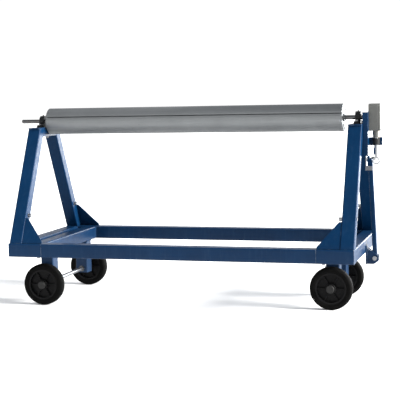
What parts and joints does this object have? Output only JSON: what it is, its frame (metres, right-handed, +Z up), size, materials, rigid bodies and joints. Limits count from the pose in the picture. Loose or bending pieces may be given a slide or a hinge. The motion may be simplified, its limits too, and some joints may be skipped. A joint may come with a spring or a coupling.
{
  "type": "pool cover reel",
  "caption": "Wheeled pool-cover reel: blue steel base with A-frame ends, aluminium roller tube in pillow-block bearings, a hand-cranked worm gearbox and a drawbar.",
  "frame": {"origin": "on the floor, under the centre of the bounding box, halfway along the roller and under its axis", "axes": "+X along the roller towards the gearbox, -Y the operating side with the crank eye, +Z up"},
  "size_m": [2.282, 0.966, 1.181],
  "materials": {
    "blue_paint": "semi-gloss",
    "zinc_steel": "zinc plated",
    "shaft_steel": "turned",
    "roller_aluminium": "mill finish",
    "black_iron": "painted black",
    "gearbox_grey": "die cast",
    "bronze": "machined",
    "tyre_rubber": "matte",
    "grip_rubber": "ribbed",
    "rim_plastic": "moulded"
  },
  "bodies": {
    "frame": {"axle_bushes": "shaft_steel", "axle_caps_and_spacers": "black_iron", "axles": "zinc_steel", "bearing_bolts": "zinc_steel", "bearing_nuts": "zinc_steel", "bearing_outer_rings": "shaft_steel", "bearing_seat_plates": "blue_paint", "cover_screws": "zinc_steel", "drawbar_bracket": "blue_paint", "drawbar_clip": "zinc_steel", "drawbar_pin": "zinc_steel", "drive_bracket": "blue_paint", "front_left_leg": "blue_paint", "front_rail": "blue_paint", "front_right_leg": "blue_paint", "gearbox_cover": "gearbox_grey", "gearbox_housing": "gearbox_grey", "gearbox_mount_bolts": "zinc_steel", "gussets": "blue_paint", "left_bearing_housing": "black_iron", "left_inner_cross_member": "blue_paint", "leg_bolts": "zinc_steel", "leg_spigots": "blue_paint", "outer_cross_members": "blue_paint", "rail_end_plates": "blue_paint", "rail_splices": "blue_paint", "rail_stubs": "blue_paint", "rear_left_leg": "blue_paint", "rear_rail": "blue_paint", "rear_right_leg": "blue_paint", "right_bearing_housing": "black_iron", "right_inner_cross_member": "blue_paint", "splice_bolts": "zinc_steel", "support_arm": "blue_paint", "support_bush": "black_iron", "top_beams": "blue_paint", "wheel_posts": "blue_paint", "worm_bushes": "bronze"},
    "roller": {"roller_tube": "roller_aluminium", "roller_end_plugs": "roller_aluminium", "plug_screws": "zinc_steel", "left_stub_shaft": "shaft_steel", "right_stub_shaft": "shaft_steel", "bearing_inner_rings": "shaft_steel", "bearing_balls": "shaft_steel", "worm_wheel": "bronze", "worm_wheel_key": "shaft_steel"},
    "drawbar": {"drawbar": "blue_paint", "drawbar_grip": "grip_rubber"},
    "worm": {"worm_shaft": "shaft_steel", "crank_eye": "shaft_steel", "eye_pin": "zinc_steel"},
    "front_left_wheel": {"front_left_tyre": "tyre_rubber", "front_left_rim": "rim_plastic"},
    "front_right_wheel": {"front_right_tyre": "tyre_rubber", "front_right_rim": "rim_plastic"},
    "rear_left_wheel": {"rear_left_tyre": "tyre_rubber", "rear_left_rim": "rim_plastic"},
    "rear_right_wheel": {"rear_right_tyre": "tyre_rubber", "rear_right_rim": "rim_plastic"}
  },
  "joints": [
    {"name": "roller_spin", "type": "hinge", "parent": "frame", "child": "roller", "pos_m": [0, 0, 1.1], "axis": [1, 0, 0], "continuous": true},
    {"name": "worm_spin", "type": "hinge", "parent": "frame", "child": "worm", "pos_m": [1.108, -0.063, 1.1], "axis": [0, 0, 1], "continuous": true},
    {"name": "drawbar_fold", "type": "hinge", "parent": "frame", "child": "drawbar", "pos_m": [1.09, 0, 0.275], "axis": [0, 1, 0], "range_deg": [0, 105]},
    {"name": "front_left_wheel_spin", "type": "hinge", "parent": "frame", "child": "front_left_wheel", "pos_m": [-0.866, -0.36, 0.125], "axis": [0, 1, 0], "continuous": true},
    {"name": "front_right_wheel_spin", "type": "hinge", "parent": "frame", "child": "front_right_wheel", "pos_m": [0.866, -0.22, 0.125], "axis": [0, 1, 0], "continuous": true},
    {"name": "rear_left_wheel_spin", "type": "hinge", "parent": "frame", "child": "rear_left_wheel", "pos_m": [-0.866, 0.36, 0.125], "axis": [0, 1, 0], "continuous": true},
    {"name": "rear_right_wheel_spin", "type": "hinge", "parent": "frame", "child": "rear_right_wheel", "pos_m": [0.866, 0.22, 0.125], "axis": [0, 1, 0], "continuous": true}
  ],
  "couplings": [
    {"joint": "worm_spin", "follows": "roller_spin", "ratio": 30}
  ]
}
